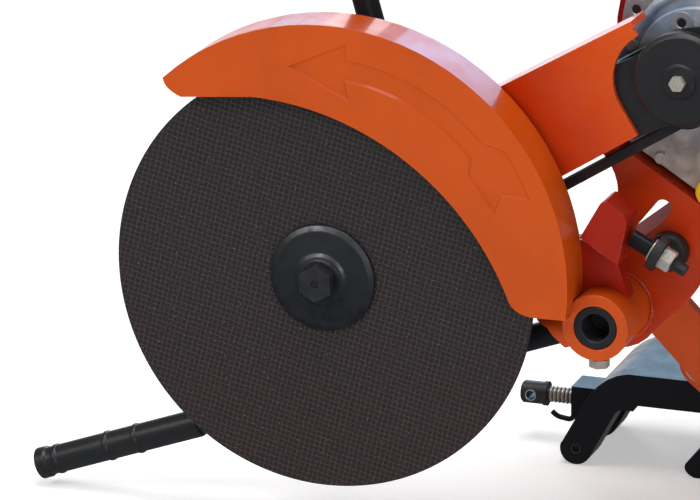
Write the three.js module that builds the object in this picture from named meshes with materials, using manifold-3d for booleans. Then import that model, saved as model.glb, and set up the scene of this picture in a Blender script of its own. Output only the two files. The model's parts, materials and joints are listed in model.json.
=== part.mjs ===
// A petrol rail-cutting saw that hangs on its own rail clamp.
// Millimetres, +Z up. X runs from the disc towards the engine, Y along the disc's axis, away
// from the guard's open face. Every sub-part is placed from the disc's centre, and one offset
// at the end moves the origin to the middle of the footprint, on the ground.
import * as THREE from "three";
import { mergeVertices } from "three/addons/utils/BufferGeometryUtils.js";
import Module from "manifold-3d";

const wasm = await Module();
wasm.setup();

// ---------------------------------------------------------------- driving dimensions
const GAP = 0.3; // clearance between pieces that touch
const GROUND = -245;
const DISC_RADIUS = 200;
const DISC_THICKNESS = 4;
const FLANGE_RADIUS = 50;
const ARBOR_RADIUS = 12.2; // clears the bearings' bore by GAP
const BEARING_BORE = ARBOR_RADIUS + GAP;
const BEARING_RADIUS = 26;

const GUARD = { front: -18, back: 30, wall: 3, radius: 228, x: 8.5, z: 13 };

const ARM_ANGLE = 32.5; // degrees above the horizontal, from the disc to the crankshaft
const ARM_LENGTH = 384; // centre distance of the belt drive
const ARM = { bottom: -25.5, front: 36, plate: 6, rear: 76, rearPlate: 8 };
const ARM_TOP = { angle: 30.5, height: 74.4, strip: 5.5 }; // the arm tapers towards the engine
const BELT = { inner: 31, outer: 40, front: 48, back: 66 };

const ENGINE_TILT = 32; // degrees, the engine's base falls away from the disc
const CRANK_HEIGHT = 103; // crankshaft above the engine's base
const CRANK = polar(ARM_LENGTH, ARM_ANGLE);
const CYLINDER = { lean: 25, middle: 145 }; // degrees above the base, and its middle along Y
const BED = { left: -80, right: 190, thickness: 8, back: 285 };

const PIVOT = [256, -23]; // axis of the saw's pivot boss
const BOSS = { radius: 31, bore: 20.3, front: 4, back: 140 };
const LINK = { length: 210, angle: -45, width: 48, front: 144, thickness: 12 };
const LINK_PIN = 12;
const KNUCKLE = offset(PIVOT, polar(LINK.length, LINK.angle));
const CLAMP_PIVOT = [314, -100];

const CLAMP = { front: 250, back: 375, top: -149, seat: -179.5 };
const JAW_PIVOT = [164.5, -229.5];
const SCREW = { y: 312.5, z: -199, radius: 8, head: 92 };

const HANDLE = { angle: 200.2, y: 35, radius: 12, end: 588 };
const GRIP_RADIUS = 13.5;

// ---------------------------------------------------------------- materials
const finish = (color, roughness, metalness) =>
  new THREE.MeshStandardMaterial({ color, roughness, metalness });
const paint = {
  orange: finish(0xd9541f, 0.3, 0),
  red: finish(0xa3301a, 0.35, 0),
  black: finish(0x15161a, 0.4, 0),
  tank: finish(0xb02020, 0.3, 0),
};
const metal = {
  plated: finish(0xc9c7bd, 0.35, 1),
  dark: finish(0x33353a, 0.4, 0.8),
  aluminium: finish(0xb4b6ba, 0.45, 0.9),
  cast: finish(0x8f8c88, 0.6, 0.6),
};
const rubber = finish(0x1c1c1e, 0.8, 0);
const plastic = finish(0x202225, 0.5, 0);
const abrasive = finish(0x2f2a2d, 0.95, 0);
const yellow = finish(0xe0b020, 0.5, 0);

// ---------------------------------------------------------------- small geometry helpers
function polar(length, degrees) {
  const angle = THREE.MathUtils.degToRad(degrees);
  return [length * Math.cos(angle), length * Math.sin(angle)];
}

function offset([x, z], [dx, dz]) {
  return [x + dx, z + dz];
}

// The engine's own coordinates (from the crankshaft, along its base) as x and z of the saw.
function fromEngine(x, z) {
  const [ax, az] = polar(x, -ENGINE_TILT);
  const [bx, bz] = polar(z, 90 - ENGINE_TILT);
  return [CRANK[0] + ax + bx, CRANK[1] + az + bz];
}

// A closed outline through corners [x, z, ease]: a corner is rounded over the length ease.
function outline(corners) {
  const shape = new THREE.Shape();
  const step = ([x, z], [tx, tz], ease) => {
    const share = ease / Math.hypot(tx - x, tz - z);
    return [x + (tx - x) * share, z + (tz - z) * share];
  };
  corners.forEach((corner, i) => {
    const [x, z, ease = 0] = corner;
    const start = step(corner, corners.at(i - 1), ease);
    if (i === 0) shape.moveTo(...start);
    else shape.lineTo(...start);
    if (ease) shape.quadraticCurveTo(x, z, ...step(corner, corners[(i + 1) % corners.length], ease));
  });
  shape.closePath();
  return shape;
}

function circle(radius, x = 0, z = 0) {
  return new THREE.Shape().absarc(x, z, radius, 0, 2 * Math.PI);
}

// A straight slot with round ends, drawn from its middle.
function slot(x, z, reach, radius, degrees) {
  const angle = THREE.MathUtils.degToRad(degrees);
  const [dx, dz] = polar(reach, degrees);
  const shape = new THREE.Shape();
  shape.absarc(x + dx, z + dz, radius, angle - Math.PI / 2, angle + Math.PI / 2);
  shape.absarc(x - dx, z - dz, radius, angle + Math.PI / 2, angle + (3 * Math.PI) / 2);
  shape.closePath();
  return shape;
}

// A shape drawn as (x, z), given its thickness along Y.
function plate(shape, front, back, curveSegments = 8) {
  const options = { depth: back - front, bevelEnabled: false, curveSegments };
  return new THREE.ExtrudeGeometry(shape, options).rotateX(Math.PI / 2).translate(0, back, 0);
}

function box(x0, x1, y0, y1, z0, z1) {
  const g = new THREE.BoxGeometry(x1 - x0, y1 - y0, z1 - z0);
  return g.translate((x0 + x1) / 2, (y0 + y1) / 2, (z0 + z1) / 2);
}

// A solid of revolution about Y through [x, z], from a profile of [radius, y] points.
function turned(profile, [x, z] = [0, 0], segments = 24) {
  const area = profile.reduce((sum, [r, y], i) => {
    const [nextR, nextY] = profile[(i + 1) % profile.length];
    return sum + r * nextY - nextR * y;
  }, 0);
  const ordered = area > 0 ? profile : [...profile].reverse();
  const closed = ordered.every(([r]) => r > 0) ? [...ordered, ordered[0]] : openAtAxis(ordered);
  const points = closed.map(([r, y]) => new THREE.Vector2(r, y));
  return new THREE.LatheGeometry(points, segments).translate(x, 0, z);
}

// Turns a profile round so that it starts and ends on the axis.
function openAtAxis(profile) {
  const start = profile.findIndex(([r], i) => r === 0 && profile.at(i - 1)[0] === 0);
  return [...profile.slice(start), ...profile.slice(0, start)];
}

function ring(inner, outer, front, back, centre, segments) {
  return turned([[inner, front], [outer, front], [outer, back], [inner, back]], centre, segments);
}

function cylinder(radius, front, back, [x, z] = [0, 0], segments = 20) {
  const g = new THREE.CylinderGeometry(radius, radius, back - front, segments);
  return g.translate(x, (front + back) / 2, z);
}

function hexagon(acrossFlats, front, back, centre) {
  return cylinder(acrossFlats / Math.sqrt(3), front, back, centre, 6);
}

// Turns a piece built along Y so that it runs from one point along a direction.
function along(geometry, from, direction) {
  const turn = new THREE.Quaternion().setFromUnitVectors(
    new THREE.Vector3(0, 1, 0),
    new THREE.Vector3(...direction).normalize(),
  );
  return geometry.applyQuaternion(turn).translate(...from);
}

// A round bar bent through points; each corner is eased over the length bend.
function bar(points, radius, bend, steps, sides = 6) {
  const stops = points.map((p) => new THREE.Vector3(...p));
  const path = new THREE.CurvePath();
  let last = stops[0];
  stops.slice(1, -1).forEach((corner, i) => {
    const before = corner.clone().add(stops[i].clone().sub(corner).setLength(bend));
    const after = corner.clone().add(stops[i + 2].clone().sub(corner).setLength(bend));
    path.add(new THREE.LineCurve3(last, before));
    path.add(new THREE.QuadraticBezierCurve3(before, corner, after));
    last = after;
  });
  path.add(new THREE.LineCurve3(last, stops.at(-1)));
  const options = { steps, extrudePath: path, curveSegments: sides };
  return new THREE.ExtrudeGeometry(circle(radius), options);
}

// ---------------------------------------------------------------- joins and cuts
function toSolid(geometry) {
  const bare = new THREE.BufferGeometry();
  bare.setAttribute("position", geometry.getAttribute("position"));
  if (geometry.index) bare.setIndex(geometry.index);
  const merged = mergeVertices(bare, 1e-3);
  const vertProperties = merged.getAttribute("position").array;
  const triVerts = new Uint32Array(merged.index.array);
  return new wasm.Manifold(new wasm.Mesh({ numProp: 3, vertProperties, triVerts }));
}

function toGeometry(solid) {
  const { vertProperties, triVerts } = solid.getMesh();
  const g = new THREE.BufferGeometry();
  g.setAttribute("position", new THREE.BufferAttribute(vertProperties, 3));
  g.setIndex(new THREE.BufferAttribute(triVerts, 1));
  return g.toNonIndexed();
}

function join(...geometries) {
  return toGeometry(geometries.map(toSolid).reduce((a, b) => a.add(b)));
}

function cut(geometry, ...tools) {
  return toGeometry(tools.map(toSolid).reduce((a, b) => a.subtract(b), toSolid(geometry)));
}

function add(parent, name, geometry, material) {
  geometry.computeVertexNormals();
  const mesh = new THREE.Mesh(geometry, material);
  mesh.name = name;
  parent.add(mesh);
}

// ---------------------------------------------------------------- disc and arbor
function addSpindle(parent) {
  const half = DISC_THICKNESS / 2;
  add(parent, "abrasive_disc", ring(12.7, DISC_RADIUS, -half, half, [0, 0], 72), abrasive);
  const outer = [
    [12.7, -half - GAP], [FLANGE_RADIUS, -half - GAP], [FLANGE_RADIUS, -5], [45, -7.5],
    [25, -10], [22, -12], [19, -12.5], [19, -14.8], [10.6, -14.8], [10.6, -6], [12.7, -6],
  ];
  add(parent, "outer_flange", turned(outer, [0, 0], 32), metal.dark);
  const inner = [[12.7, half + GAP], [FLANGE_RADIUS, half + GAP], [FLANGE_RADIUS, 6], [30, 11.7], [12.7, 11.7]];
  add(parent, "inner_flange", turned(inner, [0, 0], 28), metal.dark);
  addArborBolt(parent);
  const shaft = [
    [0, 12], [10.3, 12], [10.3, -5.5], [ARBOR_RADIUS, -5.5], [ARBOR_RADIUS, 12],
    [16, 12], [16, 15.7], [ARBOR_RADIUS, 15.7], [ARBOR_RADIUS, 92], [0, 92],
  ];
  add(parent, "arbor_shaft", turned(shaft), metal.plated);
  add(parent, "driven_pulley", turned(pulleyProfile(BEARING_BORE)), metal.cast);
}

function addArborBolt(parent) {
  const head = hexagon(30, -26, -15.1);
  const shank = cylinder(10, -16, 11);
  const centreHole = cylinder(3.5, -27, -19, [0, 0], 16);
  add(parent, "arbor_bolt", cut(join(head, shank), centreHole), metal.dark);
}

// A belt pulley's section: two rims, with the belt's seat between them.
function pulleyProfile(bore) {
  const rim = BELT.outer - 2.5;
  const seat = BELT.inner - GAP;
  const { front, back } = BELT;
  return [
    [bore, front - 1.5], [rim, front - 1.5], [rim, front - GAP], [seat, front - GAP],
    [seat, back + GAP], [rim, back + GAP], [rim, back + 1.5], [bore, back + 1.5],
  ];
}

function addArborBearings(parent) {
  const housing = [
    [18, 13], [36, 13], [38, 15], [38, 29], [48, 29], [48, ARM.front - GAP],
    [BEARING_RADIUS + GAP, ARM.front - GAP], [BEARING_RADIUS + GAP, 15.8], [18, 15.8],
  ];
  add(parent, "arbor_housing", turned(housing), paint.orange);
  add(parent, "front_bearing", ring(BEARING_BORE, BEARING_RADIUS, 16.1, 31), metal.plated);
  add(parent, "rear_bearing", ring(BEARING_BORE, BEARING_RADIUS, 72, 87), metal.plated);
}

// ---------------------------------------------------------------- guard
// The guard's side view: a round outer edge, a flatter inner edge that bares the disc.
function guardOutline() {
  const shape = new THREE.Shape();
  const deg = THREE.MathUtils.degToRad;
  shape.absarc(GUARD.x, GUARD.z, GUARD.radius, deg(-6.2), deg(133.5));
  shape.quadraticCurveTo(-147, 168, -131, 162);
  shape.lineTo(-88, 166);
  shape.absarc(-66.8, -99.5, 267.9, deg(89), deg(21.7), true);
  shape.quadraticCurveTo(187.5, -10, 203, -12);
  shape.closePath();
  return shape;
}

function addGuard(parent) {
  const { front, back, wall, radius, x, z } = GUARD;
  const body = plate(guardOutline(), front, back, 16);
  const hollow = plate(circle(radius - wall, x, z), front + wall, back - wall, 28);
  const bossNotch = cylinder(BOSS.radius + 1.5, 1, back + 1, PIVOT, 28);
  const shell = cut(body, hollow, bossNotch);
  const spacers = [[178, -8], [178, 40], [216, 16]].map(([e, n]) =>
    cylinder(8, back - 1, ARM.front - GAP, [e, n], 12).rotateY(-THREE.MathUtils.degToRad(ARM_ANGLE)),
  );
  add(parent, "guard_shell", join(shell, ...spacers), paint.orange);
}

// ---------------------------------------------------------------- arm and frame
// The height of the front plate's tapered top edge at a distance along the arm.
function armTop(x) {
  const slope = Math.tan(THREE.MathUtils.degToRad(ARM_TOP.angle - ARM_ANGLE));
  return ARM_TOP.height + slope * x;
}

// A box that lies along the arm's top edge, with its heights counted from that edge.
function onArmTop(x0, x1, y0, y1, z0, z1) {
  const { angle, height } = ARM_TOP;
  return box(x0, x1, y0, y1, height + z0, height + z1).rotateY(-THREE.MathUtils.degToRad(angle));
}

function addArm(parent) {
  const arm = new THREE.Group();
  arm.rotation.y = -THREE.MathUtils.degToRad(ARM_ANGLE);
  parent.add(arm);
  const side = new THREE.Shape();
  const { degToRad } = THREE.MathUtils;
  side.moveTo(60, ARM.bottom);
  side.lineTo(320, ARM.bottom);
  side.lineTo(320, 5);
  side.absarc(367.5, 5, 47.5, Math.PI, Math.PI / 2, true);
  side.lineTo(367.5, armTop(367.5));
  side.lineTo(60, armTop(60));
  side.absarc(0, 0, 48, degToRad(109.6), degToRad(294.4));
  side.closePath();
  const frontPlate = plate(side, ARM.front, ARM.front + ARM.plate, 10);
  const topStrip = onArmTop(60, 367, ARM.front, ARM.rear - GAP, -1, ARM_TOP.strip);
  topStrip.rotateY(degToRad(ARM_ANGLE));
  const bearingHole = cylinder(BEARING_RADIUS + GAP, ARM.front - 1, ARM.front + 8);
  add(arm, "arm_channel", cut(join(frontPlate, topStrip), bearingHole), paint.orange);
  addBelt(arm);
}

function addBelt(arm) {
  const loop = slot(ARM_LENGTH / 2, 0, ARM_LENGTH / 2, BELT.outer, 0);
  loop.holes.push(slot(ARM_LENGTH / 2, 0, ARM_LENGTH / 2, BELT.inner, 0));
  add(arm, "drive_belt", plate(loop, BELT.front, BELT.back, 9), rubber);
}

// The rear plate of the arm and the gusset below it are one plate: it carries the rear
// bearing, the engine's bed and the pivot boss.
function addSidePlate(parent) {
  const front = ARM.rear;
  const back = ARM.rear + ARM.rearPlate;
  const base = -CRANK_HEIGHT - GAP;
  const tilt = -THREE.MathUtils.degToRad(ARM_ANGLE);
  const web = outline([[20, -38], [60, ARM.bottom], [290, ARM.bottom], [290, 60], [60, 68], [-16, 42]]);
  const gusset = outline([
    [266, 152], [238, 121], [253, 102, 16], [256, 68, 24], [228, -8, 12], [286, -48, 8],
    [327, -7, 16], [342, 26, 16], fromEngine(120, base - 34), [...fromEngine(BED.right, base - 34), 10],
    fromEngine(BED.right, base), fromEngine(-24, base),
  ]);
  const bearingSeat = ring(BEARING_RADIUS + GAP, 38, 70, 90);
  const solid = join(
    plate(web, front, back).rotateY(tilt), plate(circle(44), front, back, 12), plate(gusset, front, back, 4),
    plate(circle(40, ...PIVOT), front, back, 12),
  );
  const holes = [
    cylinder(32, front - 1, back + 1),
    cylinder(BOSS.radius + GAP, front - 1, back + 1, PIVOT, 32),
    plate(slot(287, 61, 16, 7.5, 52), front - 1, back + 1, 5),
  ];
  add(parent, "side_plate", join(cut(solid, ...holes), bearingSeat), paint.red);
}

function addPivotBoss(parent) {
  const tube = ring(BOSS.bore, BOSS.radius, BOSS.front, BOSS.back, PIVOT, 32);
  const boltHole = along(cylinder(5.3, 0, 20, [0, 0], 12), [PIVOT[0], 20, PIVOT[1] - 35], [0, 0, 1]);
  add(parent, "pivot_boss", cut(tube, boltHole), paint.orange);
  const bush = ring(LINK_PIN + 1, BOSS.bore - GAP, BOSS.front + 1, BOSS.back - 1, PIVOT, 32);
  add(parent, "pivot_bush", bush, plastic);
  const bolt = join(hexagon(17, 0, 7.5), cylinder(5, 7, 16, [0, 0], 12));
  const start = [PIVOT[0], 20, PIVOT[1] - BOSS.radius - 10];
  add(parent, "bush_lock_bolt", along(bolt, start, [0, 0, 1]), metal.plated);
}

// The travel stop: a block on the boss, an adjusting bolt with a rubber disc, and a bumper.
function addStop(parent) {
  const block = outline([[261, 98, 8], [284, 81, 8], [275, 37], [239.5, 59]]);
  const web = outline([[227, 50], [262, 50], [279, 0], [240, 0], [227, -14]]);
  const bossClearance = cylinder(BOSS.radius + GAP, 0, 60, PIVOT, 32);
  const solid = cut(join(plate(block, 8, 42), plate(web, GUARD.back + 0.6, 48)), bossClearance);
  add(parent, "stop_block", solid, paint.red);
  const start = [282.5, 27, 58.5];
  const direction = [0.885, 0, -0.465];
  const shank = [[0, 0], [8, 0], [8, 21], [11, 21], [11, 23], [6, 23], [6, 32], [11, 32], [11, 34], [0, 34]];
  const threadedEnd = cylinder(6, 33, 58, [0, 0], 16);
  const bolt = join(turned(shank, [0, 0], 20), hexagon(19, 33, 43), threadedEnd);
  add(parent, "stop_bolt", along(bolt, start, direction), metal.plated);
  add(parent, "stop_disc", along(ring(6 + GAP, 16.5, 23.3, 31.7), start, direction), rubber);
  const bumper = [[0, 62], [15, 62], [18, 65], [18, ARM.rear - GAP], [0, ARM.rear - GAP]];
  add(parent, "link_bumper", turned(bumper, [305, 35], 28), rubber);
}

// ---------------------------------------------------------------- handles
// A rubber grip's section over a tube end, with a collar at the closed end.
function gripProfile(start, end, bore) {
  const r = GRIP_RADIUS;
  return [
    [0, end], [15, end], [15, end - 9], [r, end - 12], [r, start],
    [bore + GAP, start], [bore + GAP, end - 6], [0, end - 6],
  ];
}

function addHandle(parent, name, from, direction, start, end, gripLength, foot = []) {
  const tube = along(cylinder(HANDLE.radius, start, end - 7, [0, 0], 24), from, direction);
  add(parent, name + "_tube", join(tube, ...foot), paint.black);
  const grip = turned(gripProfile(end - gripLength, end, HANDLE.radius), [0, 0], 24);
  add(parent, name + "_grip", along(grip, from, direction), rubber);
}

function addHandles(parent) {
  const [dx, dz] = polar(1, HANDLE.angle);
  const from = [PIVOT[0], HANDLE.y, PIVOT[1]];
  const sleeve = along(ring(HANDLE.radius + GAP, 17, BOSS.radius - 4, 70), from, [dx, 0, dz]);
  const slant = outline([[43, 30], [43, 8], [50, -8], [66, -20], [90, -20], [90, 30]]);
  const slantCut = plate(slant, 0, 80).rotateY(-THREE.MathUtils.degToRad(HANDLE.angle));
  slantCut.translate(PIVOT[0], 0, PIVOT[1]);
  const bossClearance = cylinder(BOSS.radius + GAP, 0, 80, PIVOT, 40);
  add(parent, "handle_socket", cut(sleeve, slantCut, bossClearance), paint.orange);
  addHandle(parent, "side_handle", from, [dx, 0, dz], BOSS.radius + 2, HANDLE.end, 186);

  const [ux, uz] = polar(1, 106);
  const foot = onArmTop(88, 144, 43, 72, ARM_TOP.strip + GAP, ARM_TOP.strip + 6);
  addHandle(parent, "top_handle", [57, 57, 118], [ux, 0, uz], 14.5, 345, 150, [foot]);
}

// ---------------------------------------------------------------- engine
function addEngine(parent) {
  const engine = new THREE.Group();
  engine.position.set(CRANK[0], 0, CRANK[1]);
  engine.rotation.y = THREE.MathUtils.degToRad(ENGINE_TILT);
  parent.add(engine);
  addCrankcase(engine);
  addCylinder(engine);
  addBlower(engine);
  addFuelSystem(engine);
  addExhaust(engine);
  addBed(engine);
}

function addCrankcase(engine) {
  const floor = -CRANK_HEIGHT;
  const coverEdge = outline([
    [-67, floor + 4, 6], [-67, 26, 20], [-50, 62, 18], [16, 84, 20], [78, 62, 20], [92, 0, 20], [92, floor + 4, 6],
  ]);
  const shaftHole = cylinder(17, 79, 101);
  const cover = join(plate(coverEdge, 86, 100, 4), cylinder(40, 80, 87));
  add(engine, "crankcase_cover", cut(cover, shaftHole), metal.aluminium);
  const blockEdge = outline([[-64, floor], [-64, 20], [-46, 56], [12, 72], [74, 52], [88, 0], [88, floor]]);
  const pedestals = [-58, 20].map((x) => box(x, x + 26, 112, 178, 40, 117));
  const block = join(plate(blockEdge, 100.3, 190), ...pedestals, cylinderBarrel());
  add(engine, "crankcase", block, metal.cast);
  const cap = [[0, 72], [12, 72], [14, 74], [14, 82], [10, 82], [10, 85.7], [0, 85.7]];
  add(engine, "oil_filler_cap", turned(cap, [75, floor + 15], 20), yellow);
}

// The cylinder leans out of the crankcase, above the engine's base.
function leaned(geometry) {
  return geometry.rotateY(-THREE.MathUtils.degToRad(CYLINDER.lean));
}

// The finned barrel, in one casting with the crankcase.
function cylinderBarrel() {
  const { middle } = CYLINDER;
  const fins = [98, 109, 120, 131, 142].map((x) => box(x, x + 4, middle - 44, middle + 44, -42, 42));
  const barrel = along(cylinder(36, 60, 150.7), [0, middle, 0], [1, 0, 0]);
  return leaned(join(barrel, ...fins));
}

function addCylinder(engine) {
  const { middle } = CYLINDER;
  const headFins = [154, 163, 172].map((x) => box(x, x + 4, middle - 43, middle + 43, -40, 40));
  const head = join(box(151, 177, middle - 36, middle + 36, -34, 34), ...headFins);
  add(engine, "cylinder_head", leaned(head), metal.cast);
  const rockerEdge = outline([[178, -32, 4], [198, -28, 8], [198, 28, 8], [178, 32, 4]]);
  add(engine, "rocker_cover", leaned(plate(rockerEdge, middle - 34, middle + 34, 3)), metal.aluminium);
  const plug = turned([[0, 0], [10, 0], [10, 6], [7, 7], [7, 14], [11, 14], [11, 40], [8, 44], [0, 44]], [0, 0], 16);
  add(engine, "spark_plug_boot", leaned(along(plug, [168, middle - 20, -46], [0.35, -0.3, -1])), rubber);
}

function addBlower(engine) {
  const duct = outline([[-20, 100], [60, 116, 20], [132, 96, 12], [132, 10, 12], [60, -90]]);
  const switchBox = box(72, 98, 196, 236, -CRANK_HEIGHT + 3, -74);
  const scroll = join(plate(circle(107), 190.4, 232, 20), plate(duct, 190.4, 232, 3), switchBox);
  const underBase = box(-120, 120, 180, 240, -130, -CRANK_HEIGHT);
  const switchPocket = box(73.5, 96.5, 233, 241, -94, -80);
  add(engine, "fan_housing", cut(scroll, underBase, switchPocket), paint.tank);
  const shell = [
    [0, 232.4], [96, 232.4], [96, 240], [88, 252], [60, 260], [30, 262], [26, 268], [0, 268],
  ];
  const vents = [30, 75, 120, 200, 245, 290, 335].map((angle) =>
    plate(slot(...polar(68, angle), 13, 4, angle), 246, 270, 2),
  );
  const ropeStart = [0, 246, 0];
  const pull = [-0.93, 0, 0.37];
  const ropeEye = along(cylinder(9, 60, 103, [0, 0], 16), ropeStart, pull);
  const ropeHole = along(cylinder(3.2, -45, 104, [0, 0], 10), ropeStart, pull);
  const cover = cut(join(turned(shell, [0, 0], 28), ropeEye), ropeHole, ...vents);
  add(engine, "recoil_cover", cover, plastic);
  const rope = along(cylinder(2.6, -43, 108, [0, 0], 8), ropeStart, pull);
  const handle = along(turned([[0, -32], [7, -32], [9, -26], [8, 0], [9, 26], [7, 32], [0, 32]], [0, 0], 16),
    [-0.93 * 113, 246, 0.37 * 113], [0.37, 0, 0.93]);
  add(engine, "recoil_grip", join(rope, handle), plastic);
  const rocker = outline([[-9, 0], [-3, -2.2], [3, -2.2], [9, 0], [9, 4], [0, 5.5], [-9, 4]]);
  const key = plate(rocker, -6, 6).rotateX(-Math.PI / 2);
  add(engine, "stop_switch_key", key.translate(85, 236.4, -87), plastic);
}

function addFuelSystem(engine) {
  const tankEdge = outline([[-100, 117.4, 18], [-100, 196, 30], [64, 196, 30], [76, 150, 16], [70, 117.4, 14]]);
  add(engine, "fuel_tank", plate(tankEdge, 96, 276, 5), paint.tank);
  const cap = turned([[0, 0], [20, 0], [20, 4], [29, 5], [29, 20], [25, 23], [0, 23]], [0, 0], 28);
  add(engine, "fuel_cap", along(cap, [-30, 186, 196.4], [0, 0, 1]), plastic);
  const filterEdge = outline([[88, 113, 14], [84, 196, 22], [190, 196, 22], [186, 113, 14]]);
  add(engine, "air_filter", plate(filterEdge, 190, 280, 5), plastic);
  addCarburettor(engine);
}

function addCarburettor(engine) {
  const flange = box(142, 184, 189.4, 196, 54, 100);
  const throat = cylinder(16, 195, 236, [163, 77]);
  const bowl = along(cylinder(18, 0, 24), [163, 218, 42], [0, 0, 1]);
  const horn = along(cylinder(14, 0, 36), [163, 218, 76.5], [0, 0, 1]);
  const bracket = box(104, 182, 236, 239, 84, 100);
  add(engine, "carburettor", join(flange, throat, bowl, horn, bracket), metal.aluminium);
  addLever(engine, "throttle_lever", [114, 92], 42, 255);
  addLever(engine, "choke_lever", [172, 92], 28, 300);
}

// A flat control lever with a round eye and a rounded tip, on the carburettor's bracket.
function addLever(engine, name, [x, z], length, angle) {
  const [dx, dz] = polar(length / 2, angle);
  const lever = plate(slot(x + dx, z + dz, length / 2, 5, angle), 239.4, 242.4, 6);
  const [tipX, tipZ] = polar(length, angle);
  add(engine, name, join(lever, cylinder(6.5, 242, 252, [x + tipX, z + tipZ], 14)), plastic);
}

function addExhaust(engine) {
  const body = outline([[86, 116, 12], [86, 186, 18], [176, 186, 18], [176, 116, 12]]);
  const pipe = along(cylinder(12, 0, 16), [134, 140, 112], [0, 0, 1]);
  add(engine, "muffler", join(plate(body, 98, 178, 4), pipe), metal.dark);
  const edge = outline([[82, 112, 8], [82, 190, 14], [180, 190, 14], [180, 112, 8]]);
  for (const x of [98, 114, 131, 148, 164]) edge.holes.push(slot(x, 151, 24, 4, 90));
  add(engine, "muffler_guard", plate(edge, 91, 94, 2), metal.plated);
}

// The shelf under the engine, with stiffening lips, and the leg that the saw stands on.
function addBed(engine) {
  const { left, right, thickness, back } = BED;
  const top = -CRANK_HEIGHT - GAP;
  const front = ARM.rear + ARM.rearPlate + GAP;
  const shelf = box(left, right, front, back, top - thickness, top);
  const rearLip = box(left, right, back - 6, back, top - 34, top);
  add(engine, "engine_bed", join(shelf, rearLip), paint.red);
}

function addStand(parent) {
  const under = -CRANK_HEIGHT - BED.thickness - 1;
  const top = fromEngine(160, under);
  const knee = fromEngine(160, under - 34);
  const foot = [470, GROUND + 16];
  const path = [118, 234].map((y) => [[top[0], y, top[1]], [knee[0], y, knee[1]], [foot[0], y, foot[1]]]);
  const leg = bar([...path[0], ...path[1].reverse()], HANDLE.radius, 24, 26, 5);
  add(parent, "stand_leg", leg, paint.black);
  add(parent, "stand_foot", ring(HANDLE.radius + 3 * GAP, 16, 150, 202, foot, 24), rubber);
}

function addPulleySide(parent) {
  const drive = new THREE.Group();
  drive.position.set(CRANK[0], 0, CRANK[1]);
  drive.rotation.y = -THREE.MathUtils.degToRad(ARM_ANGLE);
  parent.add(drive);
  const shaft = [[0, BELT.front - 1.5], [10, BELT.front - 1.5], [10, 99], [0, 99]];
  const pulley = join(turned(pulleyProfile(9)), turned(shaft));
  add(drive, "drive_pulley", pulley, metal.cast);
  const housing = outline([
    [-72, -27], [-36, -31, 6], [-20, -46, 12], [48, -40, 26], [52, 16, 12], [41, 31, 6], [20, 40, 8], [4, 36.5, 6],
    [-27, 37, 8], [-72, 42],
  ]);
  const standoffs = [[50, 20], [50, -20]].map((p) => cylinder(6, 45, 85.7, p, 12));
  add(drive, "belt_housing", join(plate(housing, 42.4, 45.6, 5), ...standoffs), plastic);
  const cover = [
    [8, 42.1], [8, 31], [40, 31], [40, 42.1], [43.5, 42.1], [43.5, 31], [40, 27.5], [20, 26],
    [19, 23.5], [4.3, 23.5], [4.3, 42.1],
  ];
  add(drive, "pulley_cover", turned(cover, [0, 0], 28), plastic);
  const bolt = join(hexagon(13, 16.5, 23.2), cylinder(4, 22, 40, [0, 0], 12));
  add(drive, "cover_bolt", bolt, metal.plated);
}

// ---------------------------------------------------------------- links and rail clamp
function addLinks(parent) {
  const { front, thickness, width, length, angle } = LINK;
  const middle = offset(PIVOT, polar(length / 2, angle));
  const upper = slot(...middle, length / 2, width / 2, angle);
  const upperPlate = plate(upper, front, front + thickness, 10);
  const pivotHole = cylinder(LINK_PIN + 1, front - 1, front + thickness + 1, PIVOT);
  const knuckleHole = cylinder(LINK_PIN + GAP, front - 1, front + thickness + 1, KNUCKLE);
  add(parent, "upper_link", cut(upperPlate, pivotHole, knuckleHole), paint.orange);
  const pivotPin = [[0, 35], [12.7, 35], [12.7, 156.3], [20, 156.3], [20, 163], [0, 163]];
  add(parent, "saw_pivot_pin", turned(pivotPin, PIVOT), metal.plated);
  const knucklePin = [
    [0, 137], [18, 137], [18, front - GAP], [LINK_PIN, front - GAP], [LINK_PIN, 172.3], [18, 172.3], [18, 178], [0, 178],
  ];
  add(parent, "knuckle_pin", turned(knucklePin, KNUCKLE), metal.plated);
  addLowerLink(parent);
}

function addLowerLink(parent) {
  const dx = CLAMP_PIVOT[0] - KNUCKLE[0];
  const dz = CLAMP_PIVOT[1] - KNUCKLE[1];
  const angle = THREE.MathUtils.radToDeg(Math.atan2(dz, dx));
  const middle = [KNUCKLE[0] + dx / 2, KNUCKLE[1] + dz / 2];
  const web = plate(slot(...middle, Math.hypot(dx, dz) / 2, 23, angle), 160, 172, 8);
  const hub = cylinder(22, 160, CLAMP.front - 0.5, CLAMP_PIVOT);
  const pinHole = cylinder(LINK_PIN + GAP, 150, CLAMP.front + 1, CLAMP_PIVOT);
  const knuckleHole = cylinder(LINK_PIN + GAP, 150, 175, KNUCKLE);
  add(parent, "lower_link", cut(join(web, hub), pinHole, knuckleHole), paint.orange);
}

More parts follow.
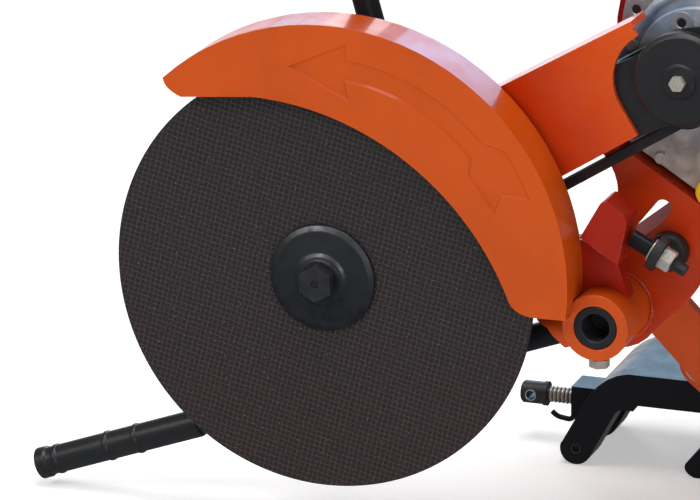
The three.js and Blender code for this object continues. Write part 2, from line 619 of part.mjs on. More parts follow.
// The clamp is one casting: a bar over the rail's head, a fixed claw on one side and a forked
// arm on the other side, where the jaw swings. A lug on top takes the lower link's pin.
function addClamp(parent) {
  const { front, back, top, seat } = CLAMP;
  const [jawX, jawZ] = JAW_PIVOT;
  const section = new THREE.Shape();
  section.moveTo(324, top);
  section.lineTo(215, top);
  section.quadraticCurveTo(182, top - 5, 163, -201);
  section.lineTo(150.5, jawZ + 5);
  section.absarc(jawX, jawZ, 15.5, Math.PI * 0.9, Math.PI * 1.85);
  section.lineTo(203, -190);
  section.quadraticCurveTo(206, -185.5, 212, -185.5);
  section.lineTo(221, -185.5);
  section.lineTo(225, seat);
  section.lineTo(289.5, seat);
  section.lineTo(289.5, -212);
  section.lineTo(273, -232);
  section.quadraticCurveTo(270, -240, 282, GROUND);
  section.lineTo(300, GROUND);
  section.quadraticCurveTo(322, -236, 324, -205);
  section.closePath();
  const boss = box(146, 178, SCREW.y - 18, SCREW.y + 18, SCREW.z - 16, SCREW.z + 16);
  const lug = outline([[CLAMP_PIVOT[0] - 22, -100], [288, top - 2], [323, top - 2], [CLAMP_PIVOT[0] + 22, -100]]);
  const solid = join(
    plate(section, front, back, 6), boss, plate(lug, front, front + 50), cylinder(22, front, front + 50, CLAMP_PIVOT),
  );
  const fork = outline([[178.2, -186], [222, -186], [222, -250], [140, -250], [140, SCREW.z - 16.5], [178.2, SCREW.z - 16.5]]);
  const screwHole = along(cylinder(SCREW.radius + GAP, 140, 186), [0, SCREW.y, SCREW.z], [1, 0, 0]);
  const jawPinHole = cylinder(6 + GAP, front - 1, back + 1, JAW_PIVOT);
  const lugHole = cylinder(LINK_PIN + GAP, front - 1, front + 51, CLAMP_PIVOT);
  const body = cut(solid, plate(fork, SCREW.y - 24, SCREW.y + 24), screwHole, jawPinHole, lugHole);
  add(parent, "clamp_body", body, paint.black);
  const pin = [
    [0, 156.7], [18, 156.7], [18, 159.7], [LINK_PIN, 159.7], [LINK_PIN, front + 50.4],
    [17, front + 50.4], [17, front + 56], [0, front + 56],
  ];
  add(parent, "clamp_pivot_pin", turned(pin, CLAMP_PIVOT), metal.plated);
  const jawPin = cut(cylinder(6, front + 0.5, back - 0.5, JAW_PIVOT), hexagon(6, front, front + 5, JAW_PIVOT));
  add(parent, "jaw_pin", jawPin, metal.dark);
  addJaw(parent);
  addClampScrew(parent);
}

function addJaw(parent) {
  const [x, z] = JAW_PIVOT;
  const edge = outline([[x + 15.5, -189], [202, -189, 3], [190, -208, 4], [x + 14, z + 4], [x + 4, z], [x + 15.5, z + 9]]);
  const blade = plate(edge, SCREW.y - 22, SCREW.y + 22);
  const eye = cylinder(12, SCREW.y - 22, SCREW.y + 22, JAW_PIVOT);
  const pinHole = cylinder(6 + GAP, SCREW.y - 30, SCREW.y + 30, JAW_PIVOT);
  add(parent, "clamp_jaw", cut(join(blade, eye), pinHole), metal.dark);
}

function addClampScrew(parent) {
  const from = [0, SCREW.y, SCREW.z];
  const { head, radius } = SCREW;
  const body = turned([
    [0, head], [9, head], [11, head + 2], [11, head + 22], [12, head + 22], [12, head + 26],
    [radius, head + 26], [radius, 172], [0, 172],
  ]);
  const crossHole = along(cylinder(4.5, -20, 20, [0, 0], 16), [head + 11, 0, 0], [0, 0, 1]);
  const upright = along(body, [0, 0, 0], [1, 0, 0]);
  add(parent, "clamp_screw", cut(upright, crossHole.rotateX(Math.PI / 2)).translate(...from), metal.dark);
  const pad = along(cylinder(radius, 172.4, 179.4), from, [1, 0, 0]);
  add(parent, "screw_pad", pad, metal.dark);
}

// ---------------------------------------------------------------- assembly
const saw = new THREE.Group();
addSpindle(saw);
addArborBearings(saw);
addGuard(saw);
addArm(saw);
addSidePlate(saw);
addPivotBoss(saw);
addStop(saw);
addHandles(saw);
addEngine(saw);
addStand(saw);
addPulleySide(saw);
addLinks(saw);
addClamp(saw);

// The disc's centre, seen from the middle of the footprint on the ground.
saw.position.set(-140.18, -174.5, -GROUND);

const root = new THREE.Group();
root.add(saw);
export default root;
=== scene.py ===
import json
import math

import bmesh
import bpy
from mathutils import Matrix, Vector, noise


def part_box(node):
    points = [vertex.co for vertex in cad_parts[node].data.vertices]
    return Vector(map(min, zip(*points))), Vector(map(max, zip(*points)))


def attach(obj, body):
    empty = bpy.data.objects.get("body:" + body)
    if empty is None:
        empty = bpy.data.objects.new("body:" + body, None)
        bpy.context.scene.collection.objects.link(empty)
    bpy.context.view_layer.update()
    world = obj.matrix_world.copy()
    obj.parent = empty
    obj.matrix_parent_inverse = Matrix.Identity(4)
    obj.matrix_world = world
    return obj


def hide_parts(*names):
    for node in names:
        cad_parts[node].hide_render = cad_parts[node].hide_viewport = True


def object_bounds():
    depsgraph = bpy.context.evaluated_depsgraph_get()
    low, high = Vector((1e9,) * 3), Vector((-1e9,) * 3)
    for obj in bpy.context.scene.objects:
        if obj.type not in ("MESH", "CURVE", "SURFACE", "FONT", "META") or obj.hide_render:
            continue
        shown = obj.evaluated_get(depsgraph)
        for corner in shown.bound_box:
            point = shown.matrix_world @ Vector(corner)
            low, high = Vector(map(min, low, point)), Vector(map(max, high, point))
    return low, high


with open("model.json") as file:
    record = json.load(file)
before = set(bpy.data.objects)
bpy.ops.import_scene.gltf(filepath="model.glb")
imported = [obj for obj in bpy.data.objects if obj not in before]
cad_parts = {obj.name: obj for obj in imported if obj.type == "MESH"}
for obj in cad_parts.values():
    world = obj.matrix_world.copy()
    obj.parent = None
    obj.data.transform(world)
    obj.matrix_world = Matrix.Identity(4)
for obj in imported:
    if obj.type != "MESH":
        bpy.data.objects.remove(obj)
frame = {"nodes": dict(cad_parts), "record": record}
CAD_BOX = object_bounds()

# Everything is placed from the disc's centre, in millimetres: x towards the engine, y away
# from the guard's open face, z up.
MM = 0.001
DISC_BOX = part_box("abrasive_disc")
ORIGIN = (DISC_BOX[0] + DISC_BOX[1]) / 2
RECORD = frame["record"]
BODY_OF = {n: body for body, names in RECORD["behaviour"]["bodies"].items() for n in names}
SLOT_OF = {s["node"]: s["material_slot"] for s in RECORD["subparts"]}
ENGINE_TILT = math.radians(32)
CRANK = (323.86, 206.33)
PIVOT = (256.0, -23.0)
GUARD_CENTRE = (8.5, 13.0)
CLAMP_SCREW = (312.5, -199.0)
HANDLE_ANGLE = 200.2
TOP_HANDLE_ANGLE = 106
FRONT = Vector((0, -1, 0))
BACK = Vector((0, 1, 0))
ALONG = Vector((1, 0, 0))
SHARP = math.radians(33)


def at(x, y, z):
    """A point in millimetres from the disc's centre."""
    return ORIGIN + Vector((x, y, z)) * MM


def direction(degrees):
    """A direction in the plane of the disc, as seen from the front."""
    a = math.radians(degrees)
    return Vector((math.cos(a), 0, math.sin(a)))


def on_engine(x, y, z):
    """A point in the engine's own coordinates, from the crankshaft and along its base."""
    c, s = math.cos(ENGINE_TILT), math.sin(ENGINE_TILT)
    return at(CRANK[0] + x * c + z * s, y, CRANK[1] - x * s + z * c)


# ------------------------------------------------------------------ node helpers
def new_material(name):
    """A material with its node tree and its main shader."""
    mat = bpy.data.materials.new(name)
    mat.use_nodes = True
    tree = mat.node_tree
    shader = tree.nodes["Principled BSDF"]
    return mat, tree, shader


def add_node(tree, kind, **values):
    """A shader node, with properties and input sockets set by name."""
    n = tree.nodes.new(kind)
    for key, value in values.items():
        if key in n.bl_rna.properties:
            setattr(n, key, value)
        else:
            n.inputs[key.replace("_", " ")].default_value = value
    return n


def coordinates(tree, location=(0, 0, 0)):
    """Object coordinates, moved by location."""
    source = add_node(tree, "ShaderNodeTexCoord")
    mapping = add_node(tree, "ShaderNodeMapping", Location=location)
    tree.links.new(source.outputs["Object"], mapping.inputs["Vector"])
    return mapping.outputs["Vector"]


def noise_of(tree, scale, detail=3.0, roughness=0.5, distortion=0.0):
    n = add_node(tree, "ShaderNodeTexNoise", Scale=scale, Detail=detail, Roughness=roughness)
    n.inputs["Distortion"].default_value = distortion
    tree.links.new(coordinates(tree), n.inputs["Vector"])
    return n.outputs["Fac"]


def math_of(tree, operation, a, b=None):
    """The result of one sum; a and b are sockets or numbers."""
    n = tree.nodes.new("ShaderNodeMath")
    n.operation = operation
    for socket, value in zip(n.inputs, (a, b)):
        if value is None:
            continue
        if isinstance(value, (int, float)):
            socket.default_value = value
        else:
            tree.links.new(value, socket)
    return n.outputs[0]


def remap(tree, value, low, high, to_low, to_high):
    n = tree.nodes.new("ShaderNodeMapRange")
    n.clamp = True
    for key, number in zip(("From Min", "From Max", "To Min", "To Max"), (low, high, to_low, to_high)):
        n.inputs[key].default_value = number
    tree.links.new(value, n.inputs["Value"])
    return n.outputs["Result"]


def mix_colour(tree, factor, a, b):
    n = tree.nodes.new("ShaderNodeMix")
    n.data_type = "RGBA"
    tree.links.new(factor, n.inputs["Factor"])
    for key, value in ((6, a), (7, b)):
        if isinstance(value, bpy.types.NodeSocket):
            tree.links.new(value, n.inputs[key])
        else:
            n.inputs[key].default_value = (*value, 1)
    return n.outputs[2]


def add_bumps(tree, shader, *layers):
    """Each layer is (height, distance in millimetres)."""
    normal = None
    for height, distance in layers:
        bump = add_node(tree, "ShaderNodeBump", Distance=distance * MM, Strength=1.0)
        tree.links.new(height, bump.inputs["Height"])
        if normal:
            tree.links.new(normal, bump.inputs["Normal"])
        normal = bump.outputs["Normal"]
    tree.links.new(normal, shader.inputs["Normal"])


def edge_mask(tree, radius, low=0.90, high=0.995):
    """1 on a sharp edge and 0 on the open surface, from how a rounded normal leaves the true one."""
    bevel = tree.nodes.new("ShaderNodeBevel")
    bevel.samples = 4
    bevel.inputs["Radius"].default_value = radius * MM
    geometry = tree.nodes.new("ShaderNodeNewGeometry")
    dot = tree.nodes.new("ShaderNodeVectorMath")
    dot.operation = "DOT_PRODUCT"
    tree.links.new(bevel.outputs["Normal"], dot.inputs[0])
    tree.links.new(geometry.outputs["True Normal"], dot.inputs[1])
    return remap(tree, dot.outputs["Value"], low, high, 1.0, 0.0)


def darkened(colour, share):
    return tuple(c * share for c in colour)


def place_from_disc(tree):
    """The x, y and z sockets of a surface point, in metres from the disc's centre."""
    parts = add_node(tree, "ShaderNodeSeparateXYZ")
    tree.links.new(coordinates(tree, location=tuple(-ORIGIN)), parts.inputs[0])
    return parts.outputs


def darker_below(tree, share, low=-0.05, high=0.2):
    """A share, from 0 higher up to share low on the machine, along a cloudy edge; enamel is darkened by it.
    """
    place = place_from_disc(tree)
    cloud = math_of(tree, "MULTIPLY", noise_of(tree, 9, 3, 0.6), 0.08)
    patchy = math_of(tree, "ADD", place[2], cloud)
    return remap(tree, patchy, low, high, share, 0.0)


def painted_light_side(tree):
    """Share of painted light: rising towards the engine and along the arm's upper edge."""
    place = place_from_disc(tree)
    across = math_of(tree, "ADD", place[0], math_of(tree, "MULTIPLY", place[2], 0.45))
    cloud = math_of(tree, "MULTIPLY", noise_of(tree, 11, 3, 0.55), 0.12)
    cloudy = math_of(tree, "ADD", across, cloud)
    return remap(tree, cloudy, 0.27, 0.46, 0.0, 1.0)


# ------------------------------------------------------------------ materials
def enamel(name, colour, roughness=0.24, wear=(0.42, 0.36, 0.32), coat=0.3, waviness=0.5, low=0.0,
           rub=0.6, painted_lit_colour=None):
    """Sprayed gloss enamel on sheet steel: orange peel, faint dirt and edges rubbed thin; darker towards
    the bottom where low is set, and painted light towards the engine where a lit colour is given.
    """
    mat, tree, shader = new_material(name)
    dirt = remap(tree, noise_of(tree, 14, 5, 0.6), 0.42, 0.75, 0.0, 0.55)
    base = mix_colour(tree, dirt, colour, darkened(colour, 0.72))
    scuffs = noise_of(tree, 320, 2, 0.7)
    patchy = math_of(tree, "MULTIPLY", remap(tree, scuffs, 0.5, 0.62, 0.0, 1.0), edge_mask(tree, 0.7))
    # Painted light: the paint turns to the lit colour towards the engine and along the arm's upper edge.
    if painted_lit_colour:
        base = mix_colour(tree, painted_light_side(tree), base, painted_lit_colour)
    if low:
        base = mix_colour(tree, darker_below(tree, low), base, darkened(colour, 0.6))
    worn = mix_colour(tree, math_of(tree, "MULTIPLY", patchy, rub), base, wear)
    tree.links.new(worn, shader.inputs["Base Color"])
    smudges = noise_of(tree, 42, 4, 0.65)
    tree.links.new(remap(tree, smudges, 0.35, 0.75, roughness, roughness + 0.2), shader.inputs["Roughness"])
    shader.inputs["Coat Weight"].default_value = coat
    shader.inputs["Coat Roughness"].default_value = 0.07
    shader.inputs["Specular IOR Level"].default_value = 0.18
    peel = noise_of(tree, 520, 1, 0.4)
    sheet = noise_of(tree, 16, 2, 0.5)
    add_bumps(tree, shader, (peel, 0.025), (sheet, waviness))
    return mat


def bare_metal(name, colour, roughness, grain=900, pits=0.02, stain_and_light_patches=0.8, metallic=1.0):
    """Steel or aluminium as it comes from the tool, with fine grain and darker stains."""
    mat, tree, shader = new_material(name)
    stains = remap(tree, noise_of(tree, 55, 5, 0.62), 0.38, 0.72, 0.0, 1.0)
    tree.links.new(mix_colour(tree, stains, colour, darkened(colour, stain_and_light_patches)), shader.inputs["Base Color"])
    shader.inputs["Metallic"].default_value = metallic
    fine = noise_of(tree, grain, 3, 0.6)
    rough = remap(tree, fine, 0.3, 0.7, roughness - 0.06, roughness + 0.1)
    tree.links.new(rough, shader.inputs["Roughness"])
    add_bumps(tree, shader, (fine, pits))
    return mat


def turned_metal(name, colour, roughness, pitch=0.9, depth=0.015):
    """A lathe-turned face: fine rings round the disc's axis."""
    mat, tree, shader = new_material(name)
    where = coordinates(tree, location=tuple(-ORIGIN))
    wave = add_node(tree, "ShaderNodeTexWave", Scale=1 / (pitch * MM * 20), Distortion=0.6, Detail=1.5)
    wave.wave_type = "RINGS"
    wave.rings_direction = "Y"
    tree.links.new(where, wave.inputs["Vector"])
    oil = remap(tree, noise_of(tree, 90, 4, 0.6), 0.35, 0.7, 0.0, 1.0)
    tree.links.new(mix_colour(tree, oil, colour, darkened(colour, 0.6)), shader.inputs["Base Color"])
    shader.inputs["Metallic"].default_value = 1.0
    tree.links.new(remap(tree, oil, 0.0, 1.0, roughness, roughness + 0.14), shader.inputs["Roughness"])
    add_bumps(tree, shader, (wave.outputs["Fac"], depth), (noise_of(tree, 700, 2), 0.012))
    return mat


def cast_metal(name, colour, roughness=0.55, depth=0.22):
    """Sand-cast or die-cast skin: coarse grain, with dust in it."""
    mat, tree, shader = new_material(name)
    grain = noise_of(tree, 620, 3, 0.65)
    dust = remap(tree, noise_of(tree, 38, 5, 0.6), 0.4, 0.7, 0.0, 1.0)
    tree.links.new(mix_colour(tree, dust, colour, darkened(colour, 0.66)), shader.inputs["Base Color"])
    shader.inputs["Metallic"].default_value = 0.75
    rough = remap(tree, grain, 0.3, 0.7, roughness - 0.08, roughness + 0.14)
    tree.links.new(rough, shader.inputs["Roughness"])
    add_bumps(tree, shader, (grain, depth * 0.35), (noise_of(tree, 190, 2), depth))
    return mat


def moulded(name, colour, roughness=0.5, texture=420, depth=0.05, dust=(0.09, 0.08, 0.07), dusty=0.3):
    """Moulded rubber or plastic: a fine grain, with pale dust caught on it."""
    mat, tree, shader = new_material(name)
    grain = noise_of(tree, texture, 3, 0.6)
    powder = remap(tree, noise_of(tree, 30, 5, 0.65), 0.5, 0.8, 0.0, dusty)
    tree.links.new(mix_colour(tree, powder, colour, dust), shader.inputs["Base Color"])
    rough = remap(tree, grain, 0.3, 0.7, roughness - 0.07, roughness + 0.1)
    tree.links.new(rough, shader.inputs["Roughness"])
    add_bumps(tree, shader, (grain, depth))
    return mat


def turned_place(tree, where, angle, wobble):
    """A point turned about y and shaken a little, so that straight threads look hand-laid."""
    shaken = add_node(tree, "ShaderNodeTexNoise", Scale=38.0, Detail=2.0)
    tree.links.new(where, shaken.inputs["Vector"])
    shift = add_node(tree, "ShaderNodeVectorMath", operation="MULTIPLY_ADD")
    tree.links.new(shaken.outputs["Color"], shift.inputs[0])
    shift.inputs[1].default_value = (wobble,) * 3
    tree.links.new(where, shift.inputs[2])
    turn = add_node(tree, "ShaderNodeVectorRotate", Angle=angle)
    turn.rotation_type = "Y_AXIS"
    tree.links.new(shift.outputs[0], turn.inputs["Vector"])
    axes = add_node(tree, "ShaderNodeSeparateXYZ")
    tree.links.new(turn.outputs[0], axes.inputs[0])
    return axes.outputs


def weave_of(tree, where, pitch):
    """1 on the threads of a plain weave; each thread goes over and under its neighbours."""
    axes = turned_place(tree, where, math.radians(-13), 0.0035)
    cells = [math_of(tree, "DIVIDE", axes[i], pitch) for i in (0, 2)]
    waves = [math_of(tree, "SINE", math_of(tree, "MULTIPLY", c, math.pi)) for c in cells]
    lines = [remap(tree, math_of(tree, "ABSOLUTE", w), 0.0, 0.34, 1.0, 0.0) for w in waves]
    rows = [math_of(tree, "FLOOR", c) for c in cells]
    parity = math_of(tree, "PINGPONG", math_of(tree, "ADD", *rows), 1.0)
    dip = math_of(tree, "MULTIPLY", parity, 0.6)
    over = math_of(tree, "MULTIPLY", lines[0], math_of(tree, "ADD", dip, 0.4))
    under = math_of(tree, "MULTIPLY", lines[1], math_of(tree, "SUBTRACT", 1.0, dip))
    return math_of(tree, "MAXIMUM", over, under)


def bright_grains(tree, where):
    """1 on a few round grains, chosen by the colour of their cell."""
    sparkle = add_node(tree, "ShaderNodeTexVoronoi", Scale=560.0)
    tree.links.new(where, sparkle.inputs["Vector"])
    chosen = add_node(tree, "ShaderNodeSeparateColor")
    tree.links.new(sparkle.outputs["Color"], chosen.inputs[0])
    rare = math_of(tree, "GREATER_THAN", chosen.outputs[0], 0.985)
    near = math_of(tree, "LESS_THAN", sparkle.outputs["Distance"], 0.24)
    return math_of(tree, "MULTIPLY", rare, near)


def abrasive():
    """Resin-bonded grit under a woven glass mesh, with a dusting of bright grains."""
    mat, tree, shader = new_material("abrasive")
    where = coordinates(tree, location=tuple(-ORIGIN))
    weave = weave_of(tree, where, 4.8 * MM)
    grit = noise_of(tree, 900, 3, 0.7)
    speckle = remap(tree, grit, 0.35, 0.7, 0.0, 1.0)
    body = mix_colour(tree, speckle, (0.009, 0.008, 0.010), (0.030, 0.026, 0.029))
    # Painted light: the threads turn reddish towards the bottom of the disc, in blotches, and stay greyer
    # above.
    low = remap(tree, place_from_disc(tree)[2], -0.16, 0.14, 1.0, 0.0)
    stain_and_light_patches = remap(tree, noise_of(tree, 150, 3, 0.6), 0.3, 0.7, 0.4, 1.0)
    painted_red_tint = math_of(tree, "MULTIPLY", low, stain_and_light_patches)
    thread = mix_colour(tree, painted_red_tint, (0.096, 0.080, 0.079), (0.150, 0.050, 0.038))
    broken = remap(tree, noise_of(tree, 420, 2, 0.6), 0.34, 0.56, 0.35, 1.0)
    colour = mix_colour(tree, math_of(tree, "MULTIPLY", weave, broken), body, thread)
    colour = mix_colour(tree, bright_grains(tree, where), colour, (0.17, 0.16, 0.155))
    tree.links.new(colour, shader.inputs["Base Color"])
    tree.links.new(remap(tree, grit, 0.3, 0.7, 0.62, 0.85), shader.inputs["Roughness"])
    shader.inputs["Specular IOR Level"].default_value = 0.35
    add_bumps(tree, shader, (grit, 0.12), (weave, 0.16))
    return mat


def casting_painted_sky_above(name):
    """Die-cast aluminium: a painted reflection of the blue sky above, brown-grey below."""
    mat, tree, shader = new_material(name)
    lower_share = darker_below(tree, 1.0, 0.15, 0.24)
    cloud = remap(tree, noise_of(tree, 24, 5, 0.62, distortion=0.8), 0.36, 0.66, 0.0, 1.0)
    # Painted reflection: the top of the casting is tinted with the blue of the sky.
    painted_sky_top = mix_colour(tree, cloud, (0.22, 0.29, 0.42), (0.50, 0.52, 0.57))
    brown = mix_colour(tree, cloud, (0.27, 0.21, 0.175), (0.60, 0.52, 0.46))
    tree.links.new(mix_colour(tree, lower_share, painted_sky_top, brown), shader.inputs["Base Color"])
    shader.inputs["Metallic"].default_value = 0.2
    grain = noise_of(tree, 540, 3, 0.6)
    tree.links.new(remap(tree, grain, 0.3, 0.7, 0.3, 0.52), shader.inputs["Roughness"])
    add_bumps(tree, shader, (grain, 0.05), (noise_of(tree, 120, 3), 0.12))
    return mat


def make_materials():
    """Every material by the key that the builders use."""
    return {
        "orange": enamel("orange_enamel", (0.57, 0.072, 0.004), 0.3, coat=0.28, low=0.12),
        "guard": enamel("guard_enamel", (0.56, 0.075, 0.003), 0.3, coat=0.28, low=0.15, rub=0.08),
        # Painted shade: the arm's deep red is a darker copy of the red enamel. Its lit colour gives painted
        # light towards the engine.
        "arm_shade_and_light": enamel("red_enamel_painted_shade_and_light", (0.43, 0.010, 0.001), 0.2, coat=0.4, waviness=2.0,
                          painted_lit_colour=(0.64, 0.078, 0.003)),
        "red": enamel("dark_red_enamel", (0.50, 0.034, 0.004), 0.24, coat=0.3, waviness=1.2, low=0.3),
        "block": enamel("block_enamel", (0.36, 0.012, 0.001), 0.28, coat=0.2, low=0.2),
        "tank": enamel("tank_enamel", (0.30, 0.006, 0.010), 0.2, coat=0.4, waviness=0.3),
        "black": enamel("black_enamel", (0.009, 0.010, 0.013), 0.3, (0.09, 0.085, 0.08), 0.15, 0.25),
        "plated": bare_metal("zinc_plate", (0.66, 0.63, 0.56), 0.3, metallic=0.6),
        "thread": bare_metal("bright_thread", (0.60, 0.56, 0.50), 0.28, metallic=0.7),
        "dark": bare_metal("black_steel", (0.055, 0.057, 0.062), 0.4, stain_and_light_patches=0.6, metallic=0.6),
        "flange": turned_metal("turned_flange", (0.125, 0.128, 0.14), 0.38),
        "aluminium": bare_metal("die_cast_aluminium", (0.46, 0.48, 0.53), 0.36, 400, 0.05, 0.72,
                                metallic=0.5),
        "casting": casting_painted_sky_above("casting_painted_sky_above"),
        "cast": cast_metal("cast_skin", (0.30, 0.27, 0.24)),
        "iron": cast_metal("machined_iron", (0.22, 0.21, 0.20), 0.45, 0.1),
        "rubber": moulded("black_rubber", (0.013, 0.013, 0.014), 0.5),
        "grip": moulded("grip_rubber", (0.013, 0.014, 0.017), 0.36, 500, 0.04, dusty=0.14),
        "bush": moulded("bush_rubber", (0.022, 0.024, 0.028), 0.5),
        "belt": moulded("belt_rubber", (0.012, 0.012, 0.013), 0.55, 700, 0.06),
        "plastic": moulded("satin_plastic", (0.014, 0.015, 0.018), 0.42, 700, 0.03, dusty=0.12),
        "yellow": moulded("yellow_plastic", (0.80, 0.40, 0.012), 0.34, 500, 0.03, (0.3, 0.2, 0.05)),
        "exhaust": cast_metal("heat_steel", (0.12, 0.105, 0.095), 0.5, 0.08),
        "abrasive": abrasive(),
    }


# ------------------------------------------------------------------ mesh helpers
def cad_mesh(node):
    """A working copy of a CAD node, with the corners of its faces merged."""
    bm = bmesh.new()
    bm.from_mesh(frame["nodes"][node].data)
    bmesh.ops.remove_doubles(bm, verts=bm.verts, dist=0.004 * MM)
    return bm


def finish_mesh(bm, name):
    """Smooth faces, split where a sharp edge is left, as a new mesh."""
    bmesh.ops.recalc_face_normals(bm, faces=bm.faces)
    for face in bm.faces:
        face.smooth = True
    for edge in bm.edges:
        edge.smooth = edge.calc_face_angle(0.0) < SHARP
    mesh = bpy.data.meshes.new(name)
    bm.to_mesh(mesh)
    bm.free()
    return mesh


def add_piece(name, mesh, body, material, slot=None, *nodes):
    """A piece of the object that rides on a CAD body."""
    obj = bpy.data.objects.new(name, mesh)
    bpy.context.scene.collection.objects.link(obj)
    mesh.materials.append(material)
    normals = obj.modifiers.new("normals", "WEIGHTED_NORMAL")
    normals.keep_sharp = True
    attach(obj, body)
    if nodes:
        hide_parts(*nodes)
    return obj


def stand_for(node, mesh, material):
    return add_piece(node + "_shell", mesh, BODY_OF[node], material, SLOT_OF[node], node)


def rounded(node, material, width=0.7, segments=2):
    """The CAD node with its edges broken, as real edges are."""
    bm = cad_mesh(node)
    bmesh.ops.dissolve_limit(bm, angle_limit=math.radians(0.6), verts=bm.verts, edges=bm.edges)
    bmesh.ops.dissolve_degenerate(bm, edges=bm.edges, dist=0.02 * MM)
    break_edges(bm, width, segments)
    return stand_for(node, finish_mesh(bm, node), material)


def break_edges(bm, width, segments=2):
    sharp = [e for e in bm.edges if e.calc_face_angle(0.0) > SHARP]
    bmesh.ops.bevel(bm, geom=sharp, offset=width * MM, offset_type="OFFSET", segments=segments,
                    profile=0.5, affect="EDGES", clamp_overlap=True)


def section_of(node, point, axis):
    """The half section of a turned CAD node, as [radius, distance along the axis]."""
    bm = cad_mesh(node)
    axis = axis.normalized()
    side = axis.orthogonal().normalized()
    columns = {}
    for v in bm.verts:
        rel = v.co - point
        along = rel.dot(axis)
        out = rel - along * axis
        radius = out.length
        key = "axis"
        if radius > 0.02 * MM:
            angle = math.atan2(out.dot(side.cross(axis)), out.dot(side))
            key = round(math.degrees(angle)) % 360
        columns.setdefault(key, {})[v] = (radius if key != "axis" else 0.0, along)
    centre = columns.pop("axis", {})
    spots = {**max(columns.values(), key=len), **centre}
    links = {v: [e.other_vert(v) for e in v.link_edges if e.other_vert(v) in spots] for v in spots}
    ends = [v for v in centre if any(o not in centre for o in links[v])]
    start = ends[0] if ends else next(iter(spots))
    chain, seen = [start], {start}
    while True:
        last = chain[-1]
        following = [v for v in links[last] if v not in seen and not (v in centre and last in centre)]
        if not following:
            break
        chain.append(following[0])
        seen.add(following[0])
    profile = [spots[v] for v in chain]
    closed = not ends
    bm.free()
    return profile, closed


def corner_curve(start, corner, end, steps):
    """Points of a curve from start to end that bends towards a corner."""
    shares = [k / steps for k in range(steps + 1)]
    return [(1 - t) ** 2 * start + 2 * t * (1 - t) * corner + t * t * end for t in shares]


def ease_corners(profile, closed, width, steps=3):
    """Rounds the corners of a section over a width in millimetres."""
    made = []
    count = len(profile)
    for i, point in enumerate(profile):
        here = Vector(point)
        if not closed and i in (0, count - 1):
            made.append(here)
            continue
        before, after = Vector(profile[i - 1]), Vector(profile[(i + 1) % count])
        a, b = before - here, after - here
        if a.length < 1e-7 or b.length < 1e-7:
            continue
        if math.pi - a.angle(b) < math.radians(8):
            made.append(here)
            continue
        reach = min(width * MM, a.length * 0.45, b.length * 0.45)
        start, end = here + a.normalized() * reach, here + b.normalized() * reach
        made += corner_curve(start, here, end, steps)
    return made


def frame_round(axis):
    """An axis with two directions square to it and to each other, all of length one."""
    axis = Vector(axis).normalized()
    side = axis.orthogonal().normalized()
    return axis, side, axis.cross(side)


def around(side, other, angle):
    return side * math.cos(angle) + other * math.sin(angle)


def add_bands(bm, pairs):
    """Four-cornered faces between pairs of rings that have the same number of points."""
    for low, high in pairs:
        count = len(low)
        for k in range(count):
            n = (k + 1) % count
            bm.faces.new([low[k], low[n], high[n], high[k]])


def spin(profile, closed, point, axis, segments=72):
    """A surface of revolution about an axis through point."""
    axis, side, other = frame_round(axis)
    bm = bmesh.new()
    angles = [2 * math.pi * k / segments for k in range(segments)]
    rings = []
    for radius, along in profile:
        if radius < 0.005 * MM:
            rings.append([bm.verts.new(point + axis * along)])
            continue
        rings.append([bm.verts.new(point + axis * along + around(side, other, a) * radius) for a in angles])
    pairs = list(zip(rings, rings[1:] + rings[:1] if closed else rings[1:]))
    for low, high in pairs:
        for k in range(segments):
            n = (k + 1) % segments
            corners = [low[k % len(low)], low[n % len(low)], high[n % len(high)], high[k % len(high)]]
            unique = list(dict.fromkeys(corners))
            if len(unique) > 2:
                bm.faces.new(unique)
    return bm


def turned(node, material, point, axis=(0, 1, 0), width=0.7, segments=72):
    """A turned CAD node, with its own section spun finer and its corners eased."""
    axis = Vector(axis)
    profile, closed = section_of(node, point, axis)
    bm = spin(ease_corners(profile, closed, width), closed, point, axis, segments)
    return stand_for(node, finish_mesh(bm, node), material)


def lathe(name, profile, point, axis, body, material, slot=None, nodes=(), width=0.5, segments=64):
    """A new turned piece, from a section of [radius, distance] in millimetres."""
    section = [(r * MM, t * MM) for r, t in profile]
    closed = min(r for r, _ in profile) > 0
    bm = spin(ease_corners(section, closed, width), closed, point, Vector(axis), segments)
    return add_piece(name, finish_mesh(bm, name), body, material, slot, *nodes)


def eased_path(corners, bend, steps=8):
    """Points along straight runs, with each corner eased over the length bend in millimetres."""
    path = [Vector(corners[0])]
    for before, here, after in zip(corners, corners[1:], corners[2:]):
        start = here + (before - here).normalized() * bend * MM
        end = here + (after - here).normalized() * bend * MM
        path += corner_curve(start, here, end, steps)
    path.append(Vector(corners[-1]))
    return path


def sweep(path, radius, sides=28, roughen=0.0, closed=False):
    """A round bar along a path; roughen makes it lumpy, as a weld bead is."""
    bm = bmesh.new()
    rings = []
    up = None
    count = len(path)
    for i, point in enumerate(path):
        if closed:
            ahead = (path[(i + 1) % count] - path[i - 1]).normalized()
        else:
            ahead = (path[min(i + 1, count - 1)] - path[max(i - 1, 0)]).normalized()
        up = (up - ahead * up.dot(ahead)).normalized() if up else ahead.orthogonal().normalized()
        side = ahead.cross(up)
        ring = []
        for k in range(sides):
            a = 2 * math.pi * k / sides
            spot = point + around(up, side, a) * radius * MM
            lump = roughen * MM * noise.noise(spot * 420)
            ring.append(bm.verts.new(spot + (spot - point).normalized() * lump))
        rings.append(ring)
    following = rings[1:] + rings[:1] if closed else rings[1:]
    add_bands(bm, zip(rings, following))
    if not closed:
        bm.faces.new(rings[0][::-1])
        bm.faces.new(rings[-1])
    return bm


